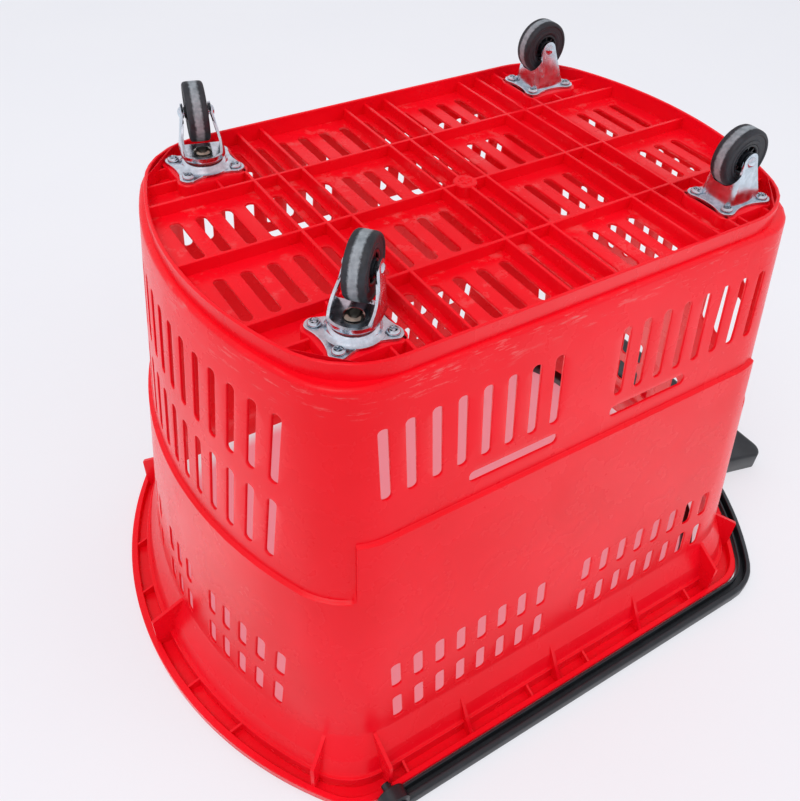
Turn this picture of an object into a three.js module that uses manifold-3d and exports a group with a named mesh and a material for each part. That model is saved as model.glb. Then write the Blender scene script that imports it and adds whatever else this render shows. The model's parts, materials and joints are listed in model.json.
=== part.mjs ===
// Rolling basket trolley: a moulded basket on four small casters, with a long
// pull handle round the rim and a carry handle that folds inside it.
// Millimetres, +Z up, origin under the middle of the bounding box, on the floor.
// -X is the front (steered casters), +X the rear (fixed casters, pull grip).

import * as THREE from 'three';
import { mergeVertices } from 'three/addons/utils/BufferGeometryUtils.js';
import Module from 'manifold-3d';

const wasm = await Module();
wasm.setup();

// ---------- driving dimensions ----------

const GAP = 0.3;               // air between neighbouring pieces
const BASKET_X = -30;           // middle of the basket along X
const RIB_Z = 54.8;            // underside of the rib grid
const FLOOR_Z = RIB_Z + 9;     // underside of the floor plate
const SKIN = 3;                // thickness of the moulded walls
const JUNCTION_Z = RIB_Z + 337; // where the wall turns out into the rim
const RIM_Z = RIB_Z + 392;     // top of the rim
const LIP_Z = RIB_Z + 382;     // lower edge of the rim's outer lip

const RIB = 2.5;               // thickness of ribs and skirt
const RIBS_X = [0, 19.4, 96, 115.4, 135];
const RIBS_Y = [0, 75.2];
const SKIRT = { L: 227, W: 149, R: 275, r: 63 };
const SKIRT_Z = 50.3;
const LIP = { L: 304, W: 223, R: 328, r: 40 };
const STEP = 3.2;              // the walls step outward by this much
const STEP_SIDE = RIB_Z + 129; // height of the step on the long walls
const STEP_END = RIB_Z + 182;  // and on the end walls

const CASTER = { x: 158, y: 111, holeX: 18.25, holeY: 14.6 };
const WHEEL = { r: 21, halfWidth: 7.5, hub: 11, bore: 4 };
const AXLE = { z: 21, r: 2.5, headR: 4 };
const TRAIL = 18;              // swivel axis to wheel axle
const SWIVEL_ANGLE = { front_right: -42, front_left: -74.5 };
const PLATE = { z0: 52.5, z1: 54.5 };
const ARM = { inner: 9, outer: 10.8 };

const PULL = { pivotX: -190, pivotZ: 435, z0: 434.3, z1: RIM_Z, gap: 1.5, width: 13, skin: 3 };
const GRIP = { x0: 290, x: 364, y: 126, yRoot: 111, round: 14, z0: RIB_Z + 371 };
const BAIL = { pivotX: 43, pivotZ: 436, z0: 430.5, z1: 441.5, y: 193, end: 250, r: 126, width: 11 };

// ---------- colours ----------

const RED = { color: 0xe3122b, roughness: 0.35, metalness: 0 };
const BLACK = { color: 0x14171b, roughness: 0.45, metalness: 0 };
const ZINC = { color: 0xb9c4cd, roughness: 0.3, metalness: 1 };
const STEEL = { color: 0x8d8f8c, roughness: 0.4, metalness: 1 };
const RUBBER = { color: 0x3a3c3f, roughness: 0.8, metalness: 0 };
const SEAL = { color: 0x7a1d1d, roughness: 0.6, metalness: 0 };

// ---------- solids ----------

function toSolid(geometry) {
  const g = geometry.index ? geometry.toNonIndexed() : geometry.clone();
  g.deleteAttribute('normal');
  g.deleteAttribute('uv');
  const merged = mergeVertices(g, 1e-4);
  return new wasm.Manifold(new wasm.Mesh({
    numProp: 3,
    vertProperties: new Float32Array(merged.attributes.position.array),
    triVerts: new Uint32Array(merged.index.array),
  }));
}

function toGeometry(solid) {
  const { vertProperties, triVerts } = solid.getMesh();
  const g = new THREE.BufferGeometry();
  g.setAttribute('position', new THREE.BufferAttribute(vertProperties, 3));
  g.setIndex(new THREE.BufferAttribute(triVerts, 1));
  g.computeVertexNormals();
  return g;
}

// The span from a to b on one side of the middle, lowest first.
const pair = (side, a, b) => [side * a, side * b].sort((p, q) => p - q);

const join = (solids) => solids.reduce((a, b) => a.add(b));

function box(x0, x1, y0, y1, z0, z1) {
  const g = new THREE.BoxGeometry(x1 - x0, y1 - y0, z1 - z0);
  g.translate((x0 + x1) / 2, (y0 + y1) / 2, (z0 + z1) / 2);
  return toSolid(g);
}

function rod(r, z0, z1, segments = 16, x = 0, y = 0) {
  const g = new THREE.CylinderGeometry(r, r, z1 - z0, segments);
  g.rotateX(Math.PI / 2);
  g.translate(x, y, (z0 + z1) / 2);
  return toSolid(g);
}

// A rod along Y, for axles and hinge pins.
function crossRod(r, y0, y1, x, z, segments = 16) {
  const g = new THREE.CylinderGeometry(r, r, y1 - y0, segments);
  g.translate(x, (y0 + y1) / 2, z);
  return toSolid(g);
}

// A turned piece: points are [radius, height], from axis to axis or a closed ring.
function turned(points, segments = 16) {
  const g = new THREE.LatheGeometry(points.map(([r, z]) => new THREE.Vector2(r, z)), segments);
  g.rotateX(Math.PI / 2);
  return g;
}

// A plate: a plan outline given height.
function plate(points, z0, z1, holes = []) {
  const shape = new THREE.Shape(points.map(([x, y]) => new THREE.Vector2(x, y)));
  for (const h of holes) shape.holes.push(new THREE.Path(h.map(([x, y]) => new THREE.Vector2(x, y))));
  const g = new THREE.ExtrudeGeometry(shape, { depth: z1 - z0, bevelEnabled: false });
  g.translate(0, 0, z0);
  return toSolid(g);
}

function arc(cx, cy, r, a0, a1, n) {
  return Array.from({ length: n + 1 }, (_, i) => {
    const a = a0 + (a1 - a0) * i / n;
    return [cx + r * Math.cos(a), cy + r * Math.sin(a)];
  });
}

// ---------- basket outline ----------

const END_STEPS = 4;      // facets from the middle of an end to its corner
const CORNER_STEPS = 4;   // facets round a corner

// Plan outline of the basket: straight sides, arched ends, round corners.
function outline({ L, W, R, r }) {
  const cx = L - R + Math.sqrt((R - r) ** 2 - (W - r) ** 2);
  const cy = W - r;
  const turn = Math.atan2(cy, cx - (L - R));
  const end = arc(L - R, 0, R, 0, turn, END_STEPS);
  const corner = arc(cx, cy, r, turn, Math.PI / 2, CORNER_STEPS).slice(1);
  const quarter = [...end, ...corner];
  const left = quarter.map(([x, y]) => [-x, y]).reverse();
  const half = [...quarter, ...left];
  const below = half.slice(1, -1).map(([x, y]) => [x, -y]).reverse();
  return [...half, ...below];
}

const grow = ({ L, W, R, r }, by) => ({ L: L + by, W: W + by, R: R + by, r: r + by });

// The outer wall at height z, before its outward steps.
function wallAt(z) {
  const d = z - RIB_Z;
  return { L: 230.6 + 0.105 * d, W: 151.5 + 0.115 * d, R: 294 + 0.13 * d, r: 48 + 0.055 * d };
}

const WALL_TOP = grow(wallAt(JUNCTION_Z), STEP);

// Between the top of the wall (t = 0) and the outer lip (t = 1).
function rimAt(t) {
  const mix = (key) => WALL_TOP[key] + (LIP[key] - WALL_TOP[key]) * t;
  return { L: mix('L'), W: mix('W'), R: mix('R'), r: mix('r') };
}

// A solid through a stack of outlines, each { points, z } or { points, heights }.
function loft(layers) {
  const count = layers[0].points.length;
  const ring = Array.from({ length: count }, (_, i) => {
    const a = 2 * Math.PI * i / count;
    return new THREE.Vector2(Math.cos(a), Math.sin(a));
  });
  const steps = layers.length - 1;
  const g = new THREE.ExtrudeGeometry(new THREE.Shape(ring), { depth: steps, steps, bevelEnabled: false });
  const p = g.attributes.position;
  for (let k = 0; k < p.count; k++) {
    const a = Math.atan2(p.getY(k), p.getX(k));
    const i = (Math.round(a * count / (2 * Math.PI)) + count) % count;
    const layer = layers[Math.round(p.getZ(k))];
    p.setXYZ(k, layer.points[i][0], layer.points[i][1], layer.heights ? layer.heights[i] : layer.z);
  }
  return toSolid(g);
}

const prism = (shape, z0, z1) => loft([
  { z: z0, points: outline(shape) },
  { z: z1, points: outline(shape) },
]);

const band = (outer, inner, z0, z1) => prism(outer, z0, z1).subtract(prism(inner, z0 - 1, z1 + 1));

// The wall from z0 to z1, offset by `by`, with its outward step, which is higher on the ends.
function wallStack(z0, z1, by) {
  const onSide = outline(wallAt(z0)).map(([x]) => Math.abs(x) < wallAt(z0).L - 0.75 * wallAt(z0).r);
  const levels = [(from) => z0, (from) => from, (from) => from + 2, (from) => z1];
  return levels.map((level, k) => {
    const at = (from) => outline(grow(wallAt(level(from)), by + (k > 1 ? STEP : 0)));
    const [side, end] = [at(STEP_SIDE), at(STEP_END)];
    return {
      points: onSide.map((yes, i) => (yes ? side[i] : end[i])),
      heights: onSide.map((yes) => level(yes ? STEP_SIDE : STEP_END)),
    };
  });
}

// ---------- basket ----------

// Stations across the rim, from the wall (0) to the outer lip (1), and their heights.
const FLARE = { t: 0.29, z: RIB_Z + 360 };
const COLLAR = { t: 0.41, z: RIB_Z + 378 };
const CHANNEL_WALL = { t: 0.51, thick: 2.2, z: RIB_Z + 376 };

function outerSolid() {
  return loft([
    { z: FLOOR_Z, points: outline(grow(wallAt(FLOOR_Z), -2)) },
    ...wallStack(FLOOR_Z + 2.5, JUNCTION_Z, 0),
    { z: FLARE.z, points: outline(rimAt(FLARE.t)) },
    { z: COLLAR.z, points: outline(rimAt(COLLAR.t)) },
    { z: RIM_Z - SKIN, points: outline(rimAt(COLLAR.t)) },
    { z: RIM_Z - SKIN, points: outline(LIP) },
    { z: RIM_Z, points: outline(LIP) },
  ]);
}

function cavity() {
  return loft([
    ...wallStack(FLOOR_Z + SKIN, JUNCTION_Z + SKIN, -SKIN),
    { z: FLARE.z, points: outline(grow(rimAt(FLARE.t), -SKIN)) },
    { z: COLLAR.z, points: outline(grow(rimAt(COLLAR.t), -SKIN)) },
    { z: RIM_Z + 1, points: outline(grow(rimAt(COLLAR.t), -SKIN)) },
  ]);
}

// The rim's downward-open channel: a thin inner wall and the outer lip.
function rimChannel() {
  const top = RIM_Z - SKIN + 0.5;
  return [
    band(rimAt(CHANNEL_WALL.t), grow(rimAt(CHANNEL_WALL.t), -CHANNEL_WALL.thick), CHANNEL_WALL.z, top),
    band(LIP, grow(LIP, -4), LIP_Z, top),
  ];
}

// Stiffening fins under the rim, upright plates from the wall to the lip.
const FIN = { thick: 3, sideX: [-186, -105, -9, 89, 179], foot: [218, 171], tip: [239, 187] };

function fin([x0, y0], [x1, y1]) {
  const half = FIN.thick / 2 / Math.hypot(x1 - x0, y1 - y0);
  const [dx, dy] = [(y0 - y1) * half, (x1 - x0) * half];
  const corners = [[x0 - dx, y0 - dy], [x1 - dx, y1 - dy], [x1 + dx, y1 + dy], [x0 + dx, y0 + dy]];
  return plate(corners, FLARE.z - 4, RIM_Z - 1);
}

function fins() {
  const [inner, outer] = [grow(WALL_TOP, -1.5), grow(LIP, -2)];
  const solids = [];
  for (const j of [-1, 1]) {
    for (const x of FIN.sideX) solids.push(fin([x, j * inner.W], [x, j * outer.W]));
    solids.push(fin([j * inner.L, 0], [j * outer.L, 0]));
    for (const i of [-1, 1]) {
      solids.push(fin([i * FIN.foot[0], j * FIN.foot[1]], [i * FIN.tip[0], j * FIN.tip[1]]));
    }
  }
  return solids;
}

function underside() {
  const inSkirt = prism(grow(SKIRT, -RIB / 2), RIB_Z, FLOOR_Z + 1);
  const reach = 240;
  const solids = [];
  for (const side of [-1, 1]) {
    for (const x of RIBS_X) {
      if (x === 0 && side < 0) continue;
      solids.push(box(side * x - RIB / 2, side * x + RIB / 2, -reach, reach, RIB_Z, FLOOR_Z + 1));
    }
    for (const y of RIBS_Y) {
      if (y === 0 && side < 0) continue;
      solids.push(box(-reach, reach, side * y - RIB / 2, side * y + RIB / 2, RIB_Z, FLOOR_Z + 1));
    }
    for (const end of [-1, 1]) {
      const [x, y] = [end * CASTER.x, side * CASTER.y];
      solids.push(box(x - 25.5, x + 25.5, y - 21.5, y + 21.5, RIB_Z, FLOOR_Z + 1));
    }
  }
  solids.push(rod(9, RIB_Z - 0.5, FLOOR_Z + 1, 16));
  const skirt = band(SKIRT, grow(SKIRT, -RIB), SKIRT_Z, FLOOR_Z + 1);
  return [join(solids.slice(0, -1)).intersect(inSkirt), solids.at(-1), skirt];
}

// Slots through the floor plate, in four rows between the ribs.
function floorSlots() {
  const solids = [];
  const slot = (x, y) => solids.push(box(x - 4, x + 4, y - 24.5, y + 24.5, FLOOR_Z - 0.5, FLOOR_Z + SKIN + 1));
  for (const side of [-1, 1]) {
    for (const y of [-110, -37.6, 37.6, 110]) {
      for (let i = 0; i < 4; i++) slot(side * (29.35 + 18.9 * i), y);
      for (const x of [9.7, 105.7, 125.2]) slot(side * x, y);
      if (Math.abs(y) < 75) {
        for (let i = 0; i < 4; i++) slot(side * (146 + 18.9 * i), y);
      }
    }
  }
  return solids;
}

const UPPER = [RIB_Z + 40, RIB_Z + 97];
const SECOND = [RIB_Z + 113, RIB_Z + 168];
const LOWER = [[RIB_Z + 264, RIB_Z + 291], [RIB_Z + 304, RIB_Z + 331]];

function sideSlots() {
  const solids = [];
  for (const side of [-1, 1]) {
    for (let i = 0; i < 8; i++) {
      const x = side * (29.5 + 19.2 * i);
      solids.push(box(x - 3.75, x + 3.75, -260, 260, ...UPPER));
      const u = side * (24.4 + 20 * i);
      for (const row of LOWER) solids.push(box(u - 4.4, u + 4.4, -260, 260, ...row));
    }
    solids.push(box(...pair(side, 25, 100), -260, 260, RIB_Z + 107, RIB_Z + 116));
  }
  return solids;
}

function endSlots() {
  const solids = [];
  const pitch = 19;
  for (let i = -6; i <= 6; i++) {
    const y = pitch * i;
    solids.push(box(-340, 340, y - 3.75, y + 3.75, ...UPPER));
    solids.push(box(-340, 340, y - 3.75, y + 3.75, ...SECOND));
  }
  for (const i of [-7, -6, -5, -4, -3, -1, 0, 1, 3, 4, 5, 6, 7]) {
    const y = pitch * i;
    for (const row of LOWER) solids.push(box(-340, 340, y - 4.4, y + 4.4, ...row));
  }
  return solids;
}

// Hinge pins: shank and head radii, and where the pull handle's eyes begin.
const PIN = { r: 4, head: 8 };
const PULL_EYE_Y = LIP.W + PULL.gap;

function screwHoles() {
  const solids = [];
  for (const [cx, cy] of casterPlaces()) {
    for (const [x, y] of screwPlaces(cx, cy)) solids.push(rod(1.9 + GAP, RIB_Z - 1, 64.6, 8, x, y));
  }
  return solids;
}

function casterPlaces() {
  return [[-1, -1], [-1, 1], [1, -1], [1, 1]].map(([i, j]) => [i * CASTER.x, j * CASTER.y]);
}

function screwPlaces(cx, cy) {
  return [[-1, -1], [-1, 1], [1, -1], [1, 1]].map(([i, j]) => [cx + i * CASTER.holeX, cy + j * CASTER.holeY]);
}

const BAIL_BOSS = { y0: 199.5, y1: 206 };

function pullBosses() {
  return [-1, 1].map((side) => box(PULL.pivotX - 10, PULL.pivotX + 10, ...pair(side, LIP.W - 12, LIP.W),
    PULL.pivotZ - 8, RIM_Z - 0.5));
}

function bailBosses() {
  return [-1, 1].map((side) => box(BAIL.pivotX - 9, BAIL.pivotX + 9,
    ...pair(side, BAIL_BOSS.y0, BAIL_BOSS.y1), BAIL.pivotZ - 9, RIM_Z - 0.5));
}

function pinHoles() {
  return [-1, 1].flatMap((side) => {
    const pull = pair(side, LIP.W - 10, LIP.W + 5);
    const bail = pair(side, BAIL_BOSS.y0 - 5, BAIL_BOSS.y1 - 1);
    return [
      crossRod(PIN.r + GAP, ...pull, PULL.pivotX, PULL.pivotZ, 12),
      crossRod(PIN.r + GAP, ...bail, BAIL.pivotX, BAIL.pivotZ, 12),
    ];
  });
}

function basket() {
  const solid = join([outerSolid(), ...rimChannel(), ...fins(), ...pullBosses(), ...underside()]);
  const whole = join([solid.subtract(cavity()), ...bailBosses()]);
  const cuts = [...floorSlots(), ...sideSlots(), ...endSlots(), ...screwHoles(), ...pinHoles()];
  return cuts.reduce((solid, cut) => solid.subtract(cut), whole);
}

// ---------- handles ----------

// The pull handle: a loop round the outside of the lip from the two pivots to
// the rear, hollow underneath, with a wider grip across the rear end.
function pullHandle() {
  const inner = grow(LIP, PULL.gap);
  const outer = grow(inner, PULL.width);
  const rear = (shape) => outline(shape).filter(([x]) => x > 0);
  const loop = (shape, from) => {
    const pts = rear(shape).sort((a, b) => Math.atan2(a[1], a[0]) - Math.atan2(b[1], b[0]));
    return [[from, -shape.W], ...pts, [from, shape.W]];
  };
  const arm = PULL.pivotX - 11;
  const ring = (growBy, z0, z1, from) => plate(loop(grow(outer, -growBy), from), z0, z1)
    .subtract(plate(loop(grow(inner, growBy), from - 1), z0 - 1, z1 + 1));
  const grip = (inset, z0, z1) => plate([
    [GRIP.x0, -(GRIP.yRoot - inset)],
    ...arc(GRIP.x - inset - GRIP.round, -(GRIP.y - inset - GRIP.round), GRIP.round, -Math.PI / 2, 0, 4),
    ...arc(GRIP.x - inset - GRIP.round, GRIP.y - inset - GRIP.round, GRIP.round, 0, Math.PI / 2, 4),
    [GRIP.x0, GRIP.yRoot - inset],
  ], z0, z1).subtract(plate(loop(grow(inner, inset), 0), z0 - 1, z1 + 1));
  const solid = ring(0, PULL.z0, PULL.z1, arm).add(grip(0, GRIP.z0, PULL.z1));
  const hollow = ring(PULL.skin, PULL.z0 - 1, PULL.z1 - PULL.skin, PULL.pivotX + 24);
  const eyes = [-1, 1].map((side) => {
    const y = pair(side, PULL_EYE_Y, PULL_EYE_Y + PULL.width);
    return crossRod(RIM_Z - PULL.pivotZ, ...y, PULL.pivotX, PULL.pivotZ, 20);
  });
  const holes = [-1, 1].map((side) => {
    const y = pair(side, PULL_EYE_Y - 2, PULL_EYE_Y + PULL.width + 2);
    return crossRod(PIN.r + GAP, ...y, PULL.pivotX, PULL.pivotZ, 12);
  });
  return join([solid.subtract(hollow), ...eyes]).subtract(join(holes));
}

// The carry handle: a round-cornered bow inside the rim, hinged at both sides.
function carryHandle() {
  const bow = (by, from) => {
    const [y, end, r] = [BAIL.y + by, BAIL.end + by, BAIL.r + by];
    return [
      [from, -y],
      ...arc(end - r, -(y - r), r, -Math.PI / 2, 0, 7),
      ...arc(end - r, y - r, r, 0, Math.PI / 2, 7),
      [from, y],
    ];
  };
  const half = BAIL.width / 2;
  const loop = plate(bow(half, BAIL.pivotX - 7), BAIL.z0, BAIL.z1)
    .subtract(plate(bow(-half, BAIL.pivotX - 8), BAIL.z0 - 1, BAIL.z1 + 1));
  return loop.subtract(crossRod(PIN.r + GAP, -260, 260, BAIL.pivotX, BAIL.pivotZ, 12));
}

// A headed hinge pin along +Y, from its inner end to the outside of its head.
function hingePin(y0, y1, head) {
  return toSolid(turned([[0, y0], [PIN.r, y0], [PIN.r, y1], [PIN.head, y1], [PIN.head, y1 + head - 1],
    [PIN.head - 1.5, y1 + head], [0, y1 + head]]));
}

// ---------- casters ----------

const tyre = () => turned([[WHEEL.hub + GAP, -6.8], [WHEEL.r - 2.5, -WHEEL.halfWidth], [WHEEL.r, -5],
  [WHEEL.r, 5], [WHEEL.r - 2.5, WHEEL.halfWidth], [WHEEL.hub + GAP, 6.8], [WHEEL.hub + GAP, -6.8]], 28);

const hub = () => turned([[WHEEL.bore + GAP, -7.6], [WHEEL.hub, -6.5], [WHEEL.hub, 6.5],
  [WHEEL.bore + GAP, 7.6], [WHEEL.bore + GAP, -7.6]], 20);

const bush = () => turned([[AXLE.r + GAP, -8.7], [WHEEL.bore, -8.7], [WHEEL.bore, 8.7],
  [AXLE.r + GAP, 8.7], [AXLE.r + GAP, -8.7]], 12);

const axle = () => turned([[0, -13.4], [AXLE.headR, -12.2], [AXLE.headR, -ARM.outer - GAP],
  [AXLE.r, -ARM.outer - GAP], [AXLE.r, ARM.outer + GAP], [AXLE.headR, ARM.outer + GAP],
  [AXLE.headR, 12.2], [0, 13.4]], 12);

// Pan-head screw, head down, driven up into the basket's pads.
const SCREW = { headR: 4.3, r: 1.9, tip: 64.2 };

function screw() {
  return turned([[0, PLATE.z0 - 2.6], [SCREW.headR, PLATE.z0 - 1.2],
    [SCREW.headR, PLATE.z0 - GAP], [SCREW.r, PLATE.z0 - GAP], [SCREW.r, SCREW.tip], [0, SCREW.tip]], 8);
}

function mountPlate() {
  const lobe = [];
  const [x, y] = [CASTER.holeX, CASTER.holeY];
  for (const [i, j, a] of [[1, 1, 0], [-1, 1, 90], [-1, -1, 180], [1, -1, 270]]) {
    const start = THREE.MathUtils.degToRad(a - 20);
    lobe.push(...arc(i * x, j * y, 6, start, start + THREE.MathUtils.degToRad(130), 3));
  }
  const solid = plate(lobe, PLATE.z0, PLATE.z1);
  return screwPlaces(0, 0).reduce((s, [hx, hy]) => s.subtract(rod(SCREW.r + GAP, 50, 56, 8, hx, hy)), solid);
}

// One side cheek of a fork or bracket, as an outline in X and Z, at +Y or -Y.
function cheek(points, side) {
  const solid = plate(points, ARM.inner, ARM.outer);
  return solid.rotate([90, 0, 0]).translate([0, side > 0 ? ARM.inner + ARM.outer : 0, 0]);
}

const axleHole = (x) => crossRod(AXLE.r + GAP, -20, 20, x, AXLE.z, 12);

const CROWN = { z0: 43.3, z1: 45.3, r: 15.5 };

function swivelPlate() {
  const dome = toSolid(turned([[0, 47.2], [13, 47.2], [17, 50.5], [17, PLATE.z0 + 0.5], [0, PLATE.z0 + 0.5]], 16));
  return mountPlate().add(dome).subtract(rod(4 + GAP, 40, 60, 12));
}

const sealRing = () => turned([[5, 45.6], [14.5, 45.6], [14.5, 46.9], [5, 46.9], [5, 45.6]], 20);

const kingpin = () => turned([[0, 41], [4.5, 41.2], [6.5, 42.2], [6.5, CROWN.z0 - GAP], [4, CROWN.z0 - GAP],
  [4, 54.2], [0, 54.2]], 12);

function fork() {
  const side = [[-9, CROWN.z1], [-9, 41], [4, 33], [12.5, 19], ...arc(TRAIL, AXLE.z, 6, Math.PI * 1.15, Math.PI * 2, 4),
    [24.3, 25], [19, 38], [15, CROWN.z1]];
  const top = plate([...arc(0, 0, CROWN.r, Math.PI / 4, Math.PI * 1.75, 10), [15, -ARM.outer], [15, ARM.outer]],
    CROWN.z0, CROWN.z1);
  return join([top, cheek(side, 1), cheek(side, -1)]).subtract(axleHole(TRAIL)).subtract(rod(4 + GAP, 40, 50, 12));
}

const RIGID_X = -3;       // wheel axle from the middle of a fixed caster's plate

function bracket() {
  const side = [[-15, PLATE.z1], [-14.5, 47], [RIGID_X - 7, 27],
    ...arc(RIGID_X, AXLE.z, 6, Math.PI * 1.05, Math.PI * 1.95, 4), [RIGID_X + 7, 27], [13, 47], [15, PLATE.z1]];
  const web = box(-15, -13.2, -ARM.outer, ARM.outer, 44, PLATE.z1);
  return join([mountPlate(), cheek(side, 1), cheek(side, -1), web]).subtract(axleHole(RIGID_X));
}

// ---------- assembly ----------

const group = new THREE.Group();

function place(parent, name, shape, finish) {
  const geometry = shape.isBufferGeometry ? shape : toGeometry(shape);
  const mesh = new THREE.Mesh(geometry, new THREE.MeshStandardMaterial(finish));
  mesh.name = name;
  parent.add(mesh);
  return mesh;
}

const onBasket = new THREE.Group();
onBasket.position.x = BASKET_X;
group.add(onBasket);

place(onBasket, 'basket_body', basket(), RED);
place(onBasket, 'pull_handle', pullHandle(), BLACK);
place(onBasket, 'carry_handle', carryHandle(), BLACK);

for (const [name, side] of [['left', -1], ['right', 1]]) {
  const turn = side > 0 ? 0 : Math.PI;
  const pull = place(onBasket, `pull_handle_pin_${name}`,
    hingePin(LIP.W - 9, PULL_EYE_Y + PULL.width + GAP, 3).rotate([-90, 0, 0]), BLACK);
  pull.rotation.z = turn;
  pull.position.set(PULL.pivotX, 0, PULL.pivotZ);
  const bail = place(onBasket, `carry_handle_pin_${name}`,
    hingePin(-(BAIL_BOSS.y1 - 2), -(BAIL.y - BAIL.width / 2 - GAP), 2.5).rotate([-90, 0, 0]), BLACK);
  bail.rotation.z = turn + Math.PI;
  bail.position.set(BAIL.pivotX, 0, BAIL.pivotZ);
}

function addWheel(parent, name, x) {
  const centre = new THREE.Group();
  centre.position.set(x, 0, AXLE.z);
  centre.rotation.x = Math.PI / 2;
  parent.add(centre);
  place(centre, `${name}_tyre`, tyre(), RUBBER);
  place(centre, `${name}_hub`, hub(), BLACK);
  place(centre, `${name}_bush`, bush(), BLACK);
  place(centre, `${name}_axle`, axle(), ZINC);
}

for (const [end, i] of [['front', -1], ['rear', 1]]) {
  for (const [side, j] of [['left', -1], ['right', 1]]) {
    const name = `${end}_${side}`;
    const caster = new THREE.Group();
    caster.position.set(i * CASTER.x, j * CASTER.y, 0);
    onBasket.add(caster);
    screwPlaces(0, 0).forEach(([x, y], k) => {
      place(caster, `${name}_screw_${k + 1}`, screw(), ZINC).position.set(x, y, 0);
    });
    if (end === 'rear') {
      place(caster, `${name}_bracket`, bracket(), ZINC);
      addWheel(caster, name, RIGID_X);
      continue;
    }
    place(caster, `${name}_plate`, swivelPlate(), ZINC);
    place(caster, `${name}_kingpin`, kingpin(), STEEL);
    const steered = new THREE.Group();
    steered.rotation.z = THREE.MathUtils.degToRad(SWIVEL_ANGLE[name]);
    caster.add(steered);
    place(steered, `${name}_seal`, sealRing(), SEAL);
    place(steered, `${name}_fork`, fork(), ZINC);
    addWheel(steered, name, TRAIL);
  }
}

export default group;
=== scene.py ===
"""Rolling basket trolley: the visual model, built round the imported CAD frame.

Lengths are in millimetres until a piece is made. Depths `d` are measured from
the rib grid under the basket, towards the rim. -X is the front, +X the rear.
"""

import json
import math

import bmesh
import bpy
import numpy as np
from mathutils import Matrix, Quaternion, Vector
from mathutils.geometry import delaunay_2d_cdt

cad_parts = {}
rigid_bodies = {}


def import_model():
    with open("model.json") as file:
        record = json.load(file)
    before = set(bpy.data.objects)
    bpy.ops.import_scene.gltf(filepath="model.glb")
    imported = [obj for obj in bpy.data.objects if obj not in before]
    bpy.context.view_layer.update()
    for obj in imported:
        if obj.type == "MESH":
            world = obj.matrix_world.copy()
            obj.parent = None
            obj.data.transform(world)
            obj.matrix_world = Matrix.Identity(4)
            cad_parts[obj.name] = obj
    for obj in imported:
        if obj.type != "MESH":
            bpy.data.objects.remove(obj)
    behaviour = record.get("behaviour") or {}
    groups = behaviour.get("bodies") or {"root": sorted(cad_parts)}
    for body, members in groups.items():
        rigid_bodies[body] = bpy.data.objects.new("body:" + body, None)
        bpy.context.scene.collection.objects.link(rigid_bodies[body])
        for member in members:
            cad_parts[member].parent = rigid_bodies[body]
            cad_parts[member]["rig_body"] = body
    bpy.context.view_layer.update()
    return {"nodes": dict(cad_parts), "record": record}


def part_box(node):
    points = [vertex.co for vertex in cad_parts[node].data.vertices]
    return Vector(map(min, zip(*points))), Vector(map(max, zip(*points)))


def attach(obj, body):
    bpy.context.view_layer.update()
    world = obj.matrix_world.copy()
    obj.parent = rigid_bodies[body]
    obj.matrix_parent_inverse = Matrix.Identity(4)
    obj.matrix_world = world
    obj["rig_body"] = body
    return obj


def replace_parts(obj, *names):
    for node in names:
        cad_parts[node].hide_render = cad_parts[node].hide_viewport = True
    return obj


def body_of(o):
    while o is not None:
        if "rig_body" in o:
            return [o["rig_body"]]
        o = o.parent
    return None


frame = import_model()

MM = 0.001
basket_low, basket_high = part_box("basket_body")
BASKET_X = (basket_low.x + basket_high.x) / 2 / MM
RIM_Z = basket_high.z / MM
RIB_Z = RIM_Z - 392

# ---------- materials ----------


def new_material(name):
    material = bpy.data.materials.new(name)
    material.use_nodes = True
    nodes, links = material.node_tree.nodes, material.node_tree.links
    return material, nodes, links, nodes["Principled BSDF"]


def noise(nodes, links, scale, detail=3.0, roughness=0.55, source=None):
    coordinates = nodes.new("ShaderNodeTexCoord")
    texture = nodes.new("ShaderNodeTexNoise")
    texture.inputs["Scale"].default_value = scale
    texture.inputs["Detail"].default_value = detail
    texture.inputs["Roughness"].default_value = roughness
    links.new(source or coordinates.outputs["Object"], texture.inputs["Vector"])
    return texture.outputs["Fac"]


def ramp(nodes, links, value, low, high, out_low=0.0, out_high=1.0):
    mapped = nodes.new("ShaderNodeMapRange")
    mapped.inputs["From Min"].default_value = low
    mapped.inputs["From Max"].default_value = high
    mapped.inputs["To Min"].default_value = out_low
    mapped.inputs["To Max"].default_value = out_high
    links.new(value, mapped.inputs["Value"])
    return mapped.outputs["Result"]


def math_node(nodes, links, operation, a, b):
    node = nodes.new("ShaderNodeMath")
    node.operation = operation
    for socket, value in zip(node.inputs, (a, b)):
        if isinstance(value, (int, float)):
            socket.default_value = value
        else:
            links.new(value, socket)
    return node.outputs["Value"]


def mix_colour(nodes, links, factor, a, b):
    node = nodes.new("ShaderNodeMix")
    node.data_type = "RGBA"
    links.new(factor, node.inputs["Factor"])
    for socket, value in ((node.inputs["A"], a), (node.inputs["B"], b)):
        if isinstance(value, tuple):
            socket.default_value = (*value, 1)
        else:
            links.new(value, socket)
    return node.outputs["Result"]


def add_bump(nodes, links, shader, height, strength, distance):
    bump = nodes.new("ShaderNodeBump")
    bump.inputs["Strength"].default_value = strength
    bump.inputs["Distance"].default_value = distance
    links.new(height, bump.inputs["Height"])
    links.new(bump.outputs["Normal"], shader.inputs["Normal"])


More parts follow.
